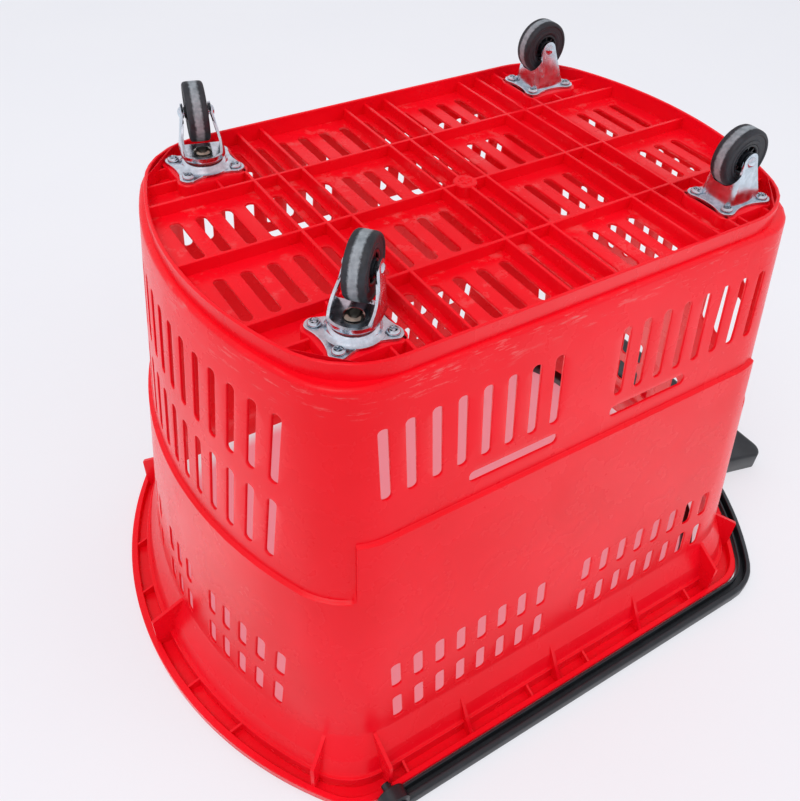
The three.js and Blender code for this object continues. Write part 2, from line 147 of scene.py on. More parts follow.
def red_plastic():
    """Glossy moulded plastic with a fine skin, rubbed pale along the shoulder under the basket."""
    material, nodes, links, shader = new_material("red_plastic")
    patches = ramp(nodes, links, noise(nodes, links, 9), 0.35, 0.7)
    body = mix_colour(nodes, links, patches, (0.76, 0.002, 0.009), (0.84, 0.003, 0.014))
    place = nodes.new("ShaderNodeSeparateXYZ")
    coordinates = nodes.new("ShaderNodeTexCoord")
    links.new(coordinates.outputs["Object"], place.inputs["Vector"])
    height = place.outputs["Z"]
    above = ramp(nodes, links, height, (RIB_Z + 8) * MM, (RIB_Z + 10) * MM)
    below = ramp(nodes, links, height, (RIB_Z + 13) * MM, (RIB_Z + 34) * MM, 1.0, 0.0)
    streaks = nodes.new("ShaderNodeMapping")
    streaks.inputs["Scale"].default_value = (30, 30, 190)
    links.new(coordinates.outputs["Object"], streaks.inputs["Vector"])
    scratch = ramp(nodes, links, noise(nodes, links, 1.6, 6, 0.7, streaks.outputs["Vector"]), 0.56, 0.72)
    worn = math_node(nodes, links, "MULTIPLY", math_node(nodes, links, "MULTIPLY", above, below), scratch)
    paleness = math_node(nodes, links, "MULTIPLY", worn, 0.5)
    rubbed = mix_colour(nodes, links, paleness, body, (0.62, 0.36, 0.34))
    links.new(rubbed, shader.inputs["Base Color"])
    gloss = ramp(nodes, links, noise(nodes, links, 28, 4), 0.3, 0.75, 0.2, 0.34)
    links.new(math_node(nodes, links, "ADD", gloss, math_node(nodes, links, "MULTIPLY", worn, 0.25)),
              shader.inputs["Roughness"])
    shader.inputs["Specular IOR Level"].default_value = 0.2
    add_bump(nodes, links, shader, noise(nodes, links, 900, 2), 0.06, 0.0003)
    return material


def black_plastic():
    material, nodes, links, shader = new_material("black_plastic")
    dust = ramp(nodes, links, noise(nodes, links, 60, 5), 0.45, 0.8)
    links.new(mix_colour(nodes, links, dust, (0.004, 0.006, 0.009), (0.012, 0.017, 0.022)),
              shader.inputs["Base Color"])
    links.new(ramp(nodes, links, noise(nodes, links, 35, 4), 0.3, 0.8, 0.3, 0.5), shader.inputs["Roughness"])
    add_bump(nodes, links, shader, noise(nodes, links, 1400, 2), 0.12, 0.0003)
    return material


def zinc_steel(name, bright, dull, stain):
    """Zinc-plated sheet: bluish bright metal with cloudy dull patches and a little brown in places."""
    material, nodes, links, shader = new_material(name)
    clouds = ramp(nodes, links, noise(nodes, links, 130, 5, 0.65), 0.35, 0.7)
    plated = mix_colour(nodes, links, clouds, bright, dull)
    spots = ramp(nodes, links, noise(nodes, links, 75, 6, 0.7), 0.66, 0.8, 0.0, 0.5)
    links.new(mix_colour(nodes, links, spots, plated, stain), shader.inputs["Base Color"])
    shader.inputs["Metallic"].default_value = 1.0
    links.new(ramp(nodes, links, noise(nodes, links, 210, 4), 0.3, 0.75, 0.14, 0.3),
              shader.inputs["Roughness"])
    add_bump(nodes, links, shader, noise(nodes, links, 700, 3), 0.12, 0.0003)
    return material


def tyre_rubber():
    """Dark rubber, worn to a pale band round the middle of the tread."""
    material, nodes, links, shader = new_material("dark_rubber")
    across = nodes.new("ShaderNodeAttribute")
    across.attribute_name = "across"
    edge = ramp(nodes, links, noise(nodes, links, 420, 5, 0.7), 0.2, 0.8, -0.9, 0.9)
    offset = math_node(nodes, links, "ABSOLUTE", across.outputs["Fac"], 0.0)
    band = ramp(nodes, links, math_node(nodes, links, "ADD", offset, edge), 2.1, 3.5, 1.0, 0.0)
    grime = ramp(nodes, links, noise(nodes, links, 260, 5), 0.35, 0.75)
    dark = mix_colour(nodes, links, grime, (0.007, 0.009, 0.013), (0.026, 0.031, 0.040))
    pale = mix_colour(nodes, links, grime, (0.20, 0.23, 0.25), (0.36, 0.40, 0.43))
    links.new(mix_colour(nodes, links, band, dark, pale), shader.inputs["Base Color"])
    links.new(ramp(nodes, links, grime, 0, 1, 0.5, 0.75), shader.inputs["Roughness"])
    add_bump(nodes, links, shader, noise(nodes, links, 1100, 4), 0.35, 0.0004)
    return material


def seal_red():
    material, nodes, links, shader = new_material("red_seal")
    dirt = ramp(nodes, links, noise(nodes, links, 320, 4), 0.4, 0.7)
    links.new(mix_colour(nodes, links, dirt, (0.42, 0.012, 0.014), (0.12, 0.02, 0.015)),
              shader.inputs["Base Color"])
    links.new(ramp(nodes, links, dirt, 0, 1, 0.45, 0.7), shader.inputs["Roughness"])
    return material


MATERIALS = {
    "red_plastic": red_plastic(),
    "black_plastic": black_plastic(),
    "zinc_steel": zinc_steel("zinc_steel", (0.74, 0.83, 0.90), (0.46, 0.54, 0.60), (0.30, 0.27, 0.19)),
    "plain_steel": zinc_steel("plain_steel", (0.36, 0.31, 0.25), (0.20, 0.17, 0.14), (0.13, 0.08, 0.05)),
    "dark_rubber": tyre_rubber(),
    "red_seal": seal_red(),
}
SLOTS = {part["node"]: part["material_slot"] for part in frame["record"]["subparts"]}
BODY_OF = {name: body_of(node)[0] for name, node in frame["nodes"].items()}

# ---------- making pieces ----------


class Build:
    """Vertices and faces of one piece, gathered from its parts."""

    def __init__(self):
        self.points = []
        self.faces = []

    def add(self, points, faces):
        first = len(self.points)
        self.points += [tuple(p) for p in points]
        self.faces += [tuple(first + i for i in f) for f in faces]

    def grid(self, rows, closed=False):
        """Quads between rows of points; closed joins each row's end to its start."""
        width = len(rows[0])
        faces = []
        for j in range(len(rows) - 1):
            for i in range(width if closed else width - 1):
                k = (i + 1) % width
                faces.append((j * width + i, j * width + k, (j + 1) * width + k, (j + 1) * width + i))
        self.add([p for row in rows for p in row], faces)

    def loops(self, rings):
        """A closed skin through a stack of rings, with its two ends filled."""
        self.grid(rings, closed=True)
        for ring in (rings[0], rings[-1]):
            self.add(ring, [tuple(range(len(ring)))])


def make(name, build, node, matrix=None, smooth=35.0):
    """One piece from gathered parts, in metres, in place of a CAD node and on its body."""
    mesh = bpy.data.meshes.new(name)
    mesh.from_pydata([Vector(p) for p in build.points], [], build.faces)
    edit = bmesh.new()
    edit.from_mesh(mesh)
    bmesh.ops.remove_doubles(edit, verts=edit.verts, dist=0.01)
    bmesh.ops.recalc_face_normals(edit, faces=edit.faces)
    edit.to_mesh(mesh)
    edit.free()
    mesh.transform(Matrix.Scale(MM, 4) @ (matrix or Matrix.Identity(4)))
    mesh.shade_smooth()
    mesh.set_sharp_from_angle(angle=math.radians(smooth))
    slot = SLOTS[node]
    mesh.materials.append(MATERIALS[slot])
    piece = bpy.data.objects.new(name, mesh)
    bpy.context.scene.collection.objects.link(piece)
    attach(piece, BODY_OF[node])
    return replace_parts(piece, node)


def bevel(piece, width, segments=2, angle=35.0):
    """Rounds a piece's sharp edges, and puts its normals right."""
    modifier = piece.modifiers.new("rounded_edges", "BEVEL")
    modifier.width = width * MM
    modifier.segments = segments
    modifier.limit_method = "ANGLE"
    modifier.angle_limit = math.radians(angle)
    modifier.harden_normals = True
    return piece


def arc(cx, cy, r, a0, a1, n):
    """Points along an arc, angles in degrees."""
    angles = [math.radians(a0 + (a1 - a0) * i / n) for i in range(n + 1)]
    return [(cx + r * math.cos(a), cy + r * math.sin(a)) for a in angles]


def prism(build, outline, z0, z1, soft=0.0):
    """An upright prism on a plan outline, its lower edge softened by `soft`."""
    rings = [[(x, y, z1) for x, y in outline]]
    if soft:
        middle = Vector((sum(x for x, _ in outline), sum(y for _, y in outline))) / len(outline)
        rings.append([(x, y, z0 + soft) for x, y in outline])
        inset = [Vector(p) + (middle - Vector(p)).normalized() * soft for p in outline]
        rings.append([(x, y, z0) for x, y in inset])
    else:
        rings.append([(x, y, z0) for x, y in outline])
    build.loops(rings)


def bar(build, x0, x1, y0, y1, z0, z1, soft=0.4):
    """A straight rib, with its lower long edges softened."""
    along_x = abs(x1 - x0) > abs(y1 - y0)
    inset = (0, soft) if along_x else (soft, 0)
    plan = [(x0, y0), (x1, y0), (x1, y1), (x0, y1)]
    signs = [(1, 1), (-1, 1), (-1, -1), (1, -1)]
    low = [(x + i * inset[0], y + j * inset[1], z0) for (x, y), (i, j) in zip(plan, signs)]
    build.loops([[(x, y, z1) for x, y in plan], [(x, y, z0 + soft) for x, y in plan], low])


def lathe(build, profile, segments=48, x=0.0, y=0.0):
    """A turned piece about an upright axis; the profile starts and ends on the axis or closes."""
    rows = []
    for r, z in profile:
        rows.append([(x + r * math.cos(a), y + r * math.sin(a), z)
                     for a in (2 * math.pi * i / segments for i in range(segments))])
    build.grid(rows, closed=True)


# ---------- the basket's outline ----------

END = 141.0       # half width of an end's stretch, measured by y
SIDE = 172.0      # half length of a side's stretch, measured by x
CORNER = 80.0     # share of the outline parameter given to a corner
QUARTER = END + CORNER + SIDE
LIP = (304.0, 223.0, 328.0, 40.0)
SKIRT = (227.0, 149.0, 275.0, 63.0)
SKIN = 2.0
STEP = 3.2
STEP_SIDE = 129.0
STEP_END = 182.0
JOG = END + 0.69 * CORNER
JOG_ROUND = 8.0
SHOULDER = 11.5
JUNCTION = 337.0


def grow(shape, by):
    return tuple(v + by for v in shape)


def wall_at(d):
    """(half length, half width, end radius, corner radius) of the tapered wall."""
    return (230.6 + 0.105 * d, 151.5 + 0.115 * d, 294 + 0.13 * d, 48 + 0.055 * d)


WALL_TOP = grow(wall_at(JUNCTION), STEP)


def rim_at(width):
    """The rim's outline where its half width is this, between wall top and lip."""
    t = (width - WALL_TOP[1]) / (LIP[1] - WALL_TOP[1])
    return tuple(a + (b - a) * t for a, b in zip(WALL_TOP, LIP))


def quarter_point(shape, q):
    """Plan point of one quarter of an outline, from the middle of the end (0) to mid side (QUARTER)."""
    length, width, end_r, r = shape
    cy = width - r
    cx = length - end_r + math.sqrt((end_r - r) ** 2 - cy**2)
    turn = math.atan2(cy, cx - length + end_r)
    y_turn = end_r * math.sin(turn)
    if q <= END:
        if q <= y_turn:
            return length - end_r + math.sqrt(end_r**2 - q * q), q
        return cx + math.sqrt(r * r - (q - cy) ** 2), q
    if q >= END + CORNER:
        x = QUARTER - q
        return x, width if x <= cx else cy + math.sqrt(r * r - (x - cx) ** 2)
    first = min(turn, math.asin(END / end_r))
    a0 = turn if END < y_turn else math.asin((END - cy) / r)
    a1 = math.pi / 2 if SIDE <= cx else math.acos((SIDE - cx) / r)
    on_end = end_r * (turn - first) if END < y_turn else 0.0
    on_corner = r * (a1 - a0)
    along = (q - END) / CORNER * (on_end + on_corner + max(0.0, cx - SIDE))
    if along < on_end:
        a = first + along / end_r
        return length - end_r + end_r * math.cos(a), end_r * math.sin(a)
    if along < on_end + on_corner:
        a = a0 + (along - on_end) / r
        return cx + r * math.cos(a), cy + r * math.sin(a)
    return cx - (along - on_end - on_corner), width


def fold(s):
    """An outline parameter as (quarter parameter, sign of x, sign of y)."""
    s = s % (4 * QUARTER)
    turns = [(s, 1, 1), (2 * QUARTER - s, -1, 1), (s - 2 * QUARTER, -1, -1), (4 * QUARTER - s, 1, -1)]
    return turns[min(3, int(s // QUARTER))]


def plan_point(shape, s):
    q, i, j = fold(s)
    x, y = quarter_point(shape, q)
    return BASKET_X + i * x, j * y


def smoothstep(t):
    t = min(1.0, max(0.0, t))
    return t * t * (3 - 2 * t)


def stepped_out(s, d):
    """How far the wall has stepped outward: low on the sides, higher round the ends."""
    q = fold(s)[0]
    side, end = min(d - STEP_SIDE, q - JOG), d - STEP_END
    past = max(side, end) + max(0.0, JOG_ROUND - abs(side - end)) ** 2 / (4 * JOG_ROUND)
    return STEP * smoothstep(past / 1.6)


def wall_point(s, d, inward=0.0):
    """A point of the wall at parameter s and depth d, set in from the outer skin."""
    lift = max(0.0, 3 * (1 - (d - SHOULDER) / 20)) * inward / SKIN
    x, y = plan_point(grow(wall_at(d), stepped_out(s, d) - inward), s)
    return x, y, RIB_Z + d + lift


def spread(first, last, pitch):
    return list(np.linspace(first, last, max(2, int(round((last - first) / pitch)) + 1)))


def quarter_columns():
    """Quarter parameters of the mesh columns, finer round the corner and at the step's jog."""
    corner = [END + CORNER * i / 14 for i in range(1, 14)]
    near_jog = [JOG + v for v in (-5.0, -3.6, -2.4, -1.4, -0.6, 0.0, 0.45, 0.9, 1.35, 1.8, 2.4)]
    corner = [q for q in corner if min(abs(q - v) for v in near_jog) > 1.2] + near_jog
    return spread(0, END, 8.5) + sorted(corner) + spread(END + CORNER, QUARTER, 8.6)


def all_columns():
    quarter = quarter_columns()
    s = set()
    for q in quarter:
        mirrored = (2 * QUARTER - q, 2 * QUARTER + q, 4 * QUARTER - q, 4 * QUARTER + q)
        s |= {round(v, 4) for v in mirrored}
    return sorted(s)


COLUMNS = all_columns()

# ---------- slots ----------

FILLET = 0.4
ROUND = [math.radians(a) for a in (0, 30, 60, 90)]
THROUGH = [(FILLET * (1 - math.sin(a)), FILLET * (1 - math.cos(a))) for a in ROUND]
THROUGH += [(e, SKIN - depth) for e, depth in reversed(THROUGH)]


def slot_loop(slot, out, n=5):
    """A rounded rectangle (u, v, half u, half v, corner radius), moved out from its edge."""
    u, v, hu, hv, r = slot
    points = []
    for i, j, a in ((1, 1, 0), (-1, 1, 90), (-1, -1, 180), (1, -1, 270)):
        points += arc(u + i * (hu - r), v + j * (hv - r), r + out, a, a + 90, n)
    return points


def outside(points, slot, margin):
    """Which of the points lie outside a slot grown by the margin."""
    u, v, hu, hv, r = slot
    du = np.maximum(np.abs(points[:, 0] - u) - (hu - r), 0)
    dv = np.maximum(np.abs(points[:, 1] - v) - (hv - r), 0)
    return np.hypot(du, dv) > r + margin


def perforated(build, edge, inner, slots, surface):
    """Both faces of a plate with slots through it; surface(u, v, depth) places it."""
    inner = np.array(inner, float)
    for slot in slots:
        inner = inner[outside(inner, slot, FILLET + 2.0)]
    points = [tuple(p) for p in edge] + [tuple(p) for p in inner]
    edges = []
    for slot in slots:
        loop = slot_loop(slot, FILLET)
        first = len(points)
        edges += [(first + i, first + (i + 1) % len(loop)) for i in range(len(loop))]
        points += loop + slot_loop(slot, FILLET + 1.1)
    flat, _, faces, *_ = delaunay_2d_cdt([Vector(p) for p in points], edges, [], 0, 1e-5)
    centres = np.array([np.mean([flat[i] for i in f], axis=0) for f in faces])
    kept = np.ones(len(faces), bool)
    for slot in slots:
        kept &= outside(centres, slot, FILLET)
    faces = [f for f, k in zip(faces, kept) if k]
    for depth in (0.0, SKIN):
        build.add([surface(u, v, depth) for u, v in flat], faces)
    for slot in slots:
        build.grid([[surface(u, v, depth) for u, v in slot_loop(slot, out)] for out, depth in THROUGH], True)


def wall_slots():
    """Slots of the four walls, as (outline parameter, depth, half width, half height, radius)."""
    slots = []
    on_side = (lambda x: 5 * QUARTER - x if x > 0 else QUARTER - x, lambda x: 3 * QUARTER + x)
    on_end = (lambda y: 2 * QUARTER - y, lambda y: 4 * QUARTER + y)
    for place in on_side:
        for i in range(8):
            for side in (-1, 1):
                slots.append((place(side * (29.5 + 19.2 * i)), 68.5, 3.75, 28.5, 3.2))
                for d in (277.5, 317.5):
                    slots.append((place(side * (24.4 + 20 * i)), d, 4.4, 13.5, 3.2))
        for side in (-1, 1):
            slots.append((place(side * 62.5), 111.5, 37.5, 4.5, 3.6))
    for place in on_end:
        for i in range(-6, 7):
            slots.append((place(19 * i), 68.5, 3.75, 28.5, 3.2))
            slots.append((place(19 * i), 140.5, 3.75, 27.5, 3.2))
        for i in (-7, -6, -5, -4, -3, -1, 0, 1, 3, 4, 5, 6, 7):
            for d in (277.5, 317.5):
                slots.append((place(19 * i), d, 4.4, 13.5, 3.2))
    return slots


def floor_slots():
    slots = []
    for side in (-1, 1):
        for y in (-110, -37.6, 37.6, 110):
            columns = [9.7, 105.7, 125.2] + [29.35 + 18.9 * i for i in range(4)]
            if abs(y) < 75:
                columns += [146 + 18.9 * i for i in range(4)]
            slots += [(BASKET_X + side * x, y, 4, 24.5, 3.99) for x in columns]
    return slots


# ---------- the basket ----------

FLOOR = 9.0
RIB = 2.5
RIBS_X = (0, 19.4, 96, 115.4, 135)
RIBS_Y = (0, 75.2)
CASTER = Vector((158, 111))
HOLES = Vector((18.25, 14.6))


def ring(shape, d):
    return [(*plan_point(shape, s), RIB_Z + d) for s in COLUMNS[:-1]]


def basket_walls(build):
    rows = spread(SHOULDER, JUNCTION, 9.0)
    steps = [at + v for at in (STEP_SIDE, STEP_END) for v in (-0.6, 0, 0.4, 0.8, 1.2, 1.6, 2.2)]
    rows = sorted([d for d in rows if min(abs(d - v) for v in steps) > 1.5] + steps)
    first, last = COLUMNS[0], COLUMNS[-1]
    edge = [(s, d) for s in COLUMNS for d in (rows[0], rows[-1])]
    edge += [(s, d) for s in (first, last) for d in rows[1:-1]]
    inner = [(s, d) for s in COLUMNS[1:-1] for d in rows[1:-1]]
    perforated(build, edge, inner, wall_slots(), wall_point)


def basket_floor(build):
    middle = grow(SKIRT, -RIB / 2)
    edge = [plan_point(middle, s) for s in COLUMNS[:-1]]
    reach = grow(middle, -5)
    inner = []
    for x in np.arange(-216, 217, 9):
        for y in np.arange(-144, 145, 9):
            limit = quarter_point(reach, min(abs(y), END))[0]
            if abs(x) < limit and abs(y) < 141 and outline_holds(reach, x, y):
                inner.append((BASKET_X + x, y))
    perforated(build, edge, inner, floor_slots(), lambda x, y, depth: (x, y, RIB_Z + FLOOR + depth))


def outline_holds(shape, x, y):
    """Whether a plan point is inside an outline."""
    length, width, end_r, r = shape
    cy = width - r
    cx = length - end_r + math.sqrt((end_r - r) ** 2 - cy**2)
    x, y = abs(x), abs(y)
    if y > width or math.hypot(x - length + end_r, y) > end_r:
        return False
    return not (x > cx and y > cy and math.hypot(x - cx, y - cy) > r)


def basket_rings(build):
    """Ledge and shoulder below, the flared rim above, and the skin inside them."""
    middle = grow(SKIRT, -RIB / 2)
    r = SHOULDER - 8
    low = wall_at(SHOULDER)
    outer = [ring(middle, FLOOR), ring(middle, 8)]
    outer += [ring(grow(low, -r + r * math.sin(a)), 8 + r - r * math.cos(a))
              for a in (math.radians(v) for v in (0, 22.5, 45, 67.5, 90))]
    build.grid(outer, closed=True)
    floor_top, corner_r = FLOOR + SKIN, 2.5
    inner = [ring(middle, floor_top)]
    inner += [ring(grow(low, -SKIN - corner_r + corner_r * math.sin(a)),
                   floor_top + corner_r - corner_r * math.cos(a))
              for a in (math.radians(v) for v in (0, 30, 60, 90))]
    build.grid(inner, closed=True)
    profile = [(WALL_TOP[1] + 0.25, 338.2), (WALL_TOP[1] + 0.9, 340.4), (201.2, 358.6), (201.8, 359.6),
               (202.3, 360.8), (205.3, 374.9), (205.9, 375.8), (206.7, 376), (207.9, 376), (208.4, 376.5),
               (208.6, 389), (217, 389), (217.4, 382.6), (217.9, 382), (222.2, 382), (223, 382.8),
               (223, 390), (222.3, 391.4), (220.8, 392)]
    inside = [(202.4 + 1.6, 392), (202.4 + 0.5, 391.5), (202.4, 390), (202.4, 378), (199.4, 361),
              (198.7, 359.4), (191.4, 340.6), (WALL_TOP[1] - SKIN + 0.25, 338.4)]
    rows = [[wall_point(s, JUNCTION) for s in COLUMNS[:-1]]]
    rows += [ring(rim_at(w), d) for w, d in profile + inside]
    rows.append([wall_point(s, JUNCTION, SKIN) for s in COLUMNS[:-1]])
    build.grid(rows, closed=True)


def web(build, foot, tip, profile, thick):
    """An upright web from plan point foot towards tip, as (distance from foot, depth) points."""
    foot, tip = Vector(foot), Vector(tip)
    out = (tip - foot).normalized()
    side = Vector((-out.y, out.x)) * thick / 2
    build.loops([[(*(foot + out * t + side * sign), RIB_Z + d) for t, d in profile] for sign in (-1, 1)])


def side_s(x, side):
    """Outline parameter of x on the +Y (side 1) or -Y (side -1) wall."""
    return QUARTER - x if side > 0 else 3 * QUARTER + x


TALL_FINS_X = (-186, 179)
GUSSETS_X = (-105, -9, 89)
CORNER_FIN = ((217, 170), (243.4, 190.6))
WEB_PITCH = 64.5


def fin(build, foot, tip, tall):
    """A plate from inside the rim's skin at foot out to the lip at tip."""
    length = math.dist(foot, tip)
    reach = length - 4.5
    skin = [(0.355, 390.5), (0.33, 376), (0.25, 362), (0.21, 359.5)]
    back = [(share * length, d) for share, d in skin]
    if tall:
        upper = [(-0.2, 341), (-1, 338), (reach - 0.6, 352), (reach, 353)]
    else:
        upper = [(1.1, 345), (reach, 383)]
    web(build, foot, tip, back + upper + [(reach, 390.5)], 3)


def basket_fins(build):
    for j in (-1, 1):
        for x in TALL_FINS_X + GUSSETS_X:
            at = BASKET_X + x
            fin(build, (at, j * WALL_TOP[1]), (at, j * LIP[1]), x in TALL_FINS_X)
        fin(build, (BASKET_X + j * WALL_TOP[0], 0), (BASKET_X + j * LIP[0], 0), True)
        for i in (-1, 1):
            foot, tip = ((BASKET_X + i * x, j * y) for x, y in CORNER_FIN)
            fin(build, foot, tip, True)
    places = [side_s(-168 + WEB_PITCH * i, side) for i in range(6) for side in (-1, 1)]
    places += [end * QUARTER + v for end in (2, 4) for v in (-112, -56, 56, 112)]
    low, high = rim_at(207.5), rim_at(217.6)
    for s in places:
        foot, tip = plan_point(low, s), plan_point(high, s)
        length = math.dist(foot, tip)
        web(build, foot, tip, [(0, 378), (length, 382.6), (length, 390), (0, 390)], 2)


def reach_x(y, by):
    """Half length of the skirt at this y."""
    shape = grow(SKIRT, by)
    return quarter_point(shape, abs(y))[0] if abs(y) < END else 0


def reach_y(x, by):
    """Half width of the skirt at this x."""
    return quarter_point(grow(SKIRT, by), QUARTER - abs(x))[1]


def pad_outline(x, y, out):
    """The lobed pad under a caster plate."""
    points = []
    for i, j, a in ((1, 1, 45), (-1, 1, 135), (-1, -1, 225), (1, -1, 315)):
        centre = (x + i * HOLES.x, y + j * HOLES.y)
        points += arc(*centre, out, a - 78, a + 78, 10)
    return points


def basket_underside(build):
    top = RIB_Z + FLOOR + 1
    for x in RIBS_X:
        for side in {-1, 1} if x else {1}:
            y = reach_y(x, -RIB / 2)
            at = BASKET_X + side * x
            bar(build, at - RIB / 2, at + RIB / 2, -y, y, RIB_Z, top)
    for y in RIBS_Y:
        for side in {-1, 1} if y else {1}:
            x = reach_x(y, -RIB / 2)
            bar(build, BASKET_X - x, BASKET_X + x, side * y - RIB / 2, side * y + RIB / 2, RIB_Z + 0.02, top)
    for i in (-1, 1):
        for j in (-1, 1):
            x, y = BASKET_X + i * CASTER.x, j * CASTER.y
            prism(build, pad_outline(x, y, 8.6), RIB_Z, top, 0.5)
            for dx in (-12, 14):
                edge = reach_y(CASTER.x + dx, -RIB / 2)
                ys = sorted((j * (CASTER.y + 18), j * edge))
                bar(build, x + i * dx - 1, x + i * dx + 1, *ys, RIB_Z + 1, top)
            for dy in (-8, 12):
                edge = reach_x(CASTER.y + dy, -RIB / 2)
                xs = sorted((BASKET_X + i * (CASTER.x + 20), BASKET_X + i * edge))
                bar(build, *xs, y + j * dy - 1, y + j * dy + 1, RIB_Z + 1, top)
            xs = sorted((BASKET_X + i * RIBS_X[-1], BASKET_X + i * (CASTER.x - 18)))
            bar(build, *xs, y - 1, y + 1, RIB_Z + 1, top)
            ys = sorted((j * RIBS_Y[-1], j * (CASTER.y - 16)))
            bar(build, x - 1, x + 1, *ys, RIB_Z + 1, top)
    lathe(build, [(0, RIB_Z + 0.6), (4.5, RIB_Z + 0.6), (5, RIB_Z + 0.1), (5.6, RIB_Z - 0.5),
                  (8.2, RIB_Z - 0.5),
                  (9, RIB_Z + 0.3), (9, top), (0, top)], 40, BASKET_X, 0)


def skirt(build):
    """The rim round the rib grid, standing a little prouder than the ribs."""
    low, high = -4.5, FLOOR + 0.5
    rows = [ring(SKIRT, high), ring(SKIRT, low + 0.6), ring(grow(SKIRT, -0.6), low),
            ring(grow(SKIRT, -RIB + 0.6), low), ring(grow(SKIRT, -RIB), low + 0.6),
            ring(grow(SKIRT, -RIB), high)]
    build.grid(rows + [rows[0]], closed=True)


def basket():
    build = Build()
    basket_walls(build)
    basket_floor(build)
    basket_rings(build)
    basket_fins(build)
    basket_underside(build)
    skirt(build)
    return make("basket_moulding", build, "basket_body")


basket()

# ---------- handles ----------

PULL_PIVOT = Vector((-190, 0, 435))
PULL_GAP = 1.5
PULL_WIDTH = 13.0
PULL_Z = 434.3
GRIP_Z = RIB_Z + 371
BAIL_PIVOT = Vector((43, 0, 436))
BAIL_Y, BAIL_HALF = 193, 5.5
PIN_R, PIN_HEAD_R, PIN_GAP = 4, 8, 0.3
ACROSS_Y = Matrix.Rotation(math.radians(-90), 4, "X")


def sweep(build, path_at, section):
    """A bar along a plan path: section holds (offset, height) points, path_at gives the path at an offset."""
    lines = [path_at(offset) for offset, _ in section]
    rings = [[(*line[k], z) for line, (_, z) in zip(lines, section)] for k in range(len(lines[0]))]
    build.loops(rings)


def pull_path(offset):
    """Round the rear of the lip, from one pivot to the other."""
    straight = [(BASKET_X + x, LIP[1] + offset) for x in (-201, -190, -180)]
    round_rear = [plan_point(grow(LIP, offset), s % (4 * QUARTER))
                  for s in sorted({v for s in COLUMNS for v in (s, s - 4 * QUARTER)}, reverse=True)
                  if -QUARTER - SIDE <= s <= QUARTER + SIDE]
    return straight + round_rear + [(x, -y) for x, y in reversed(straight)]


def grip_outline(inset):
    """The grip across the rear: a trapezium with round outer corners, its root on the bar."""
    x, y, r, root = 364 - inset, 126 - inset, 14, 111 - inset
    corner = arc(x - r, -(y - r), r, -80, 0, 8) + arc(x - r, y - r, r, 0, 80, 8)
    root_line = [plan_point(grow(LIP, 8 + inset), s) for s in np.linspace(root, -root, 25)]
    return [(BASKET_X + a, b) for a, b in corner] + root_line


def pull_handle():
    build = Build()
    out, top = PULL_GAP + PULL_WIDTH, RIM_Z
    section = [(PULL_GAP, top - 0.6), (PULL_GAP, PULL_Z + 0.7), (PULL_GAP + 0.5, PULL_Z),
               (PULL_GAP + 1.8, PULL_Z), (PULL_GAP + 2.3, PULL_Z + 0.6), (PULL_GAP + 2.3, top - 3),
               (out - 5.2, top - 3), (out - 5, PULL_Z + 1.4), (out - 4.5, PULL_Z + 0.8),
               (out - 1.8, PULL_Z + 0.8), (out - 0.6, PULL_Z + 1.6), (out, PULL_Z + 3),
               (out, top - 1.2), (out - 1.2, top), (PULL_GAP + 0.6, top)]
    sweep(build, pull_path, section)
    dish = [(1.2, top), (0.3, top - 0.4), (0, top - 1.4), (0, GRIP_Z + 2.2), (0.7, GRIP_Z + 0.8),
            (2.2, GRIP_Z), (4.5, GRIP_Z + 0.2), (12, GRIP_Z + 1.6)]
    build.loops([[(x, y, z) for x, y in grip_outline(inset)] for inset, z in dish])
    radius = top - PULL_PIVOT.z
    for side in (-1, 1):
        eye = Build()
        y0, y1 = LIP[1] + PULL_GAP, LIP[1] + PULL_GAP + PULL_WIDTH
        lathe(eye, [(0, y0), (radius - 0.5, y0), (radius, y0 + 0.5), (radius, y1 - 1.5),
                    (radius - 1.5, y1), (0, y1)])
        turn = Matrix.Translation(PULL_PIVOT + Vector((BASKET_X, 0, 0))) @ ACROSS_Y
        flip = Matrix.Scale(side, 4, (0, 1, 0))
        build.add([flip @ turn @ Vector(p) for p in eye.points], eye.faces)
    return make("pull_handle_bar", build, "pull_handle")


def bail_path(offset):
    """The carry handle's bow, from one pivot round the rear to the other."""
    y, end, r = BAIL_Y + offset, 250 + offset, 126 + offset
    straight = [(x, y) for x in (36, 43, 50, 70)]
    bend = arc(end - r, y - r, r, 90, 0, 24)
    across = [(end, v) for v in np.linspace(y - r, 0, 6)[1:-1]]
    half = straight + bend + across
    return [(BASKET_X + a, b) for a, b in half + [(x, -v) for x, v in reversed(half)]]


def carry_handle():
    build = Build()
    half, z, r = BAIL_HALF, BAIL_PIVOT.z, 2.4
    section = [(u, z + v) for i, j, a in ((1, 1, 0), (-1, 1, 90), (-1, -1, 180), (1, -1, 270))
               for u, v in arc(i * (half - r), j * (half - r), r, a, a + 90, 3)]
    sweep(build, bail_path, section)
    return make("carry_handle_bow", build, "carry_handle")


